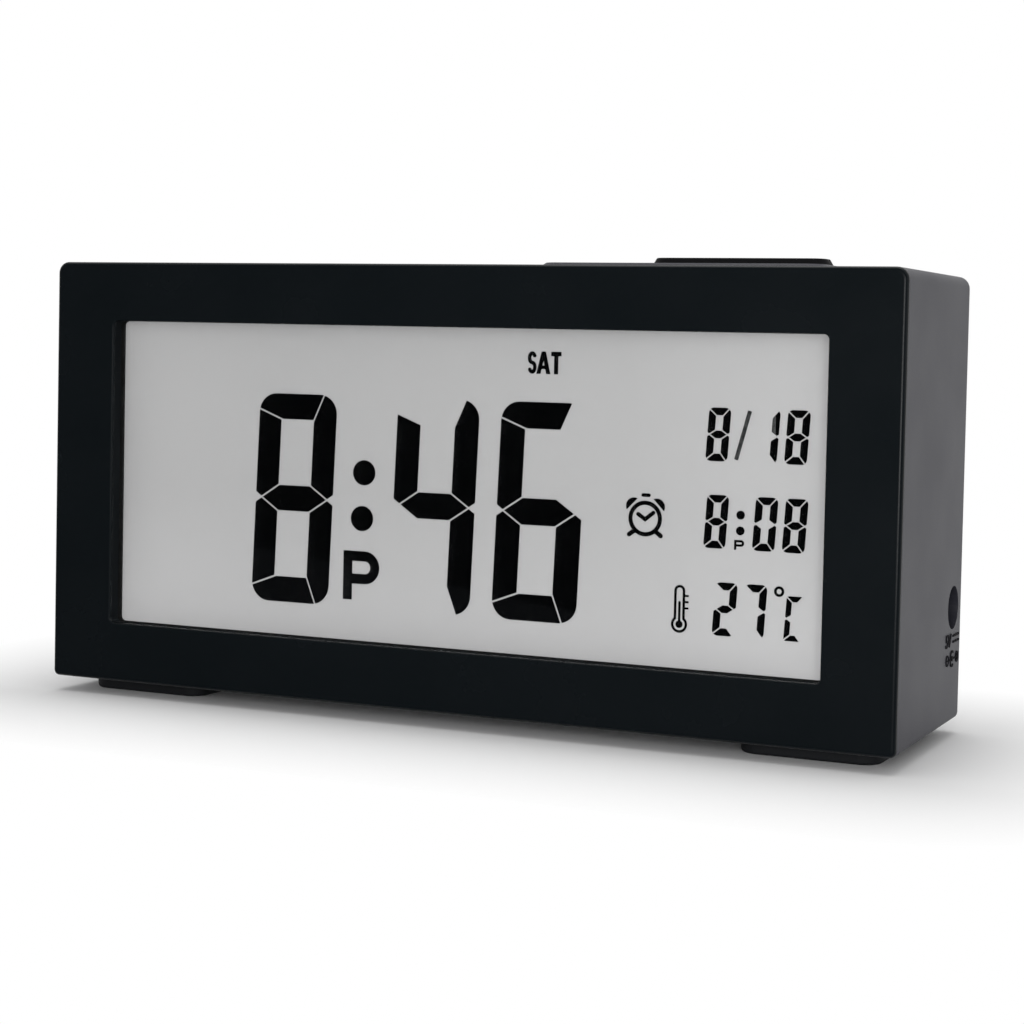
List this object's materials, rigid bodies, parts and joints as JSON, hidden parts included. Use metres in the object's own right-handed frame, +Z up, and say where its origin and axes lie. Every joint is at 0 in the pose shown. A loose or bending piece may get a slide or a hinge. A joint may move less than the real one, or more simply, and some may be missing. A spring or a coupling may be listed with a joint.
{
  "type": "digital clock",
  "caption": "Box-shaped desk clock with a large light grey display in a black front frame, a snooze key on top, setting keys and a battery lid on the back and a round power inlet.",
  "frame": {"origin": "on the surface that the clock stands on, under the middle of its bounding box", "axes": "+X to the right of the front view, +Y from the front to the back, +Z up"},
  "size_m": [0.14, 0.0398, 0.0711],
  "materials": {
    "bezel_black": "gloss moulded black",
    "case_plastic": "fine satin texture",
    "key_plastic": "satin",
    "pad_rubber": "soft matt",
    "clear_plastic": "clear polished",
    "display_glass": "polished",
    "display_ink": "dark segments",
    "reflector": "light grey",
    "foam": "closed-cell foam",
    "frame_plastic": "moulded",
    "strip_rubber": "layered elastomer",
    "board": "solder mask",
    "resin": "cast resin",
    "plunger_plastic": "moulded",
    "light_plastic": "moulded",
    "can_metal": "drawn can",
    "screw_steel": "zinc plated",
    "foot_rubber": "matt",
    "brass": "stamped",
    "ceramic": "silvered",
    "contact_steel": "nickel plated spring steel",
    "cell_jacket": "printed jacket"
  },
  "bodies": {
    "case": {"backlight_guide": "clear_plastic", "backlight_lights": "light_plastic", "battery_cells": "cell_jacket", "board_connectors": "frame_plastic", "board_screws": "screw_steel", "capacitors": "can_metal", "case_screws": "screw_steel", "chip_resistors": "resin", "contact_bridge_left": "contact_steel", "contact_bridge_right": "contact_steel", "contact_negative": "contact_steel", "contact_positive": "contact_steel", "contact_strip": "strip_rubber", "controller_blob": "resin", "crystal_can": "can_metal", "display_lens": "clear_plastic", "foot_left": "foot_rubber", "foot_right": "foot_rubber", "front_bezel": "bezel_black", "heat_sensor": "resin", "jack_body": "frame_plastic", "jack_contact": "contact_steel", "jack_pin": "contact_steel", "key_board": "board", "key_board_screws": "screw_steel", "key_switches": "frame_plastic", "lcd_frame": "frame_plastic", "lcd_front_glass": "display_glass", "lcd_gasket": "foam", "lcd_rear_glass": "display_glass", "lcd_reflector": "reflector", "lcd_segments": "display_ink", "main_board": "board", "rear_housing": "case_plastic", "snooze_switch": "frame_plastic", "sounder_ceramic": "ceramic", "sounder_disc": "brass"},
    "snooze": {"snooze_key": "case_plastic", "snooze_pad": "pad_rubber", "snooze_plunger": "plunger_plastic"},
    "time_button": {"time_key": "key_plastic", "time_plunger": "plunger_plastic"},
    "alarm_button": {"alarm_key": "key_plastic", "alarm_plunger": "plunger_plastic"},
    "up_button": {"up_key": "key_plastic", "up_plunger": "plunger_plastic"},
    "down_button": {"down_key": "key_plastic", "down_plunger": "plunger_plastic"},
    "lid": {"battery_door": "case_plastic"}
  },
  "joints": [
    {"name": "snooze_press", "type": "slide", "parent": "case", "child": "snooze", "axis": [0, 0, -1], "range_m": [0, 0.0006], "stiffness_N_per_m": 2000},
    {"name": "time_press", "type": "slide", "parent": "case", "child": "time_button", "axis": [0, -1, 0], "range_m": [0, 0.0005], "stiffness_N_per_m": 2000},
    {"name": "alarm_press", "type": "slide", "parent": "case", "child": "alarm_button", "axis": [0, -1, 0], "range_m": [0, 0.0005], "stiffness_N_per_m": 2000},
    {"name": "up_press", "type": "slide", "parent": "case", "child": "up_button", "axis": [0, -1, 0], "range_m": [0, 0.0005], "stiffness_N_per_m": 2000},
    {"name": "down_press", "type": "slide", "parent": "case", "child": "down_button", "axis": [0, -1, 0], "range_m": [0, 0.0005], "stiffness_N_per_m": 2000},
    {"name": "lid_swing", "type": "hinge", "parent": "case", "child": "lid", "pos_m": [-0.018, 0.0191, 0.0098], "axis": [-1, 0, 0], "range_deg": [0, 75]}
  ]
}
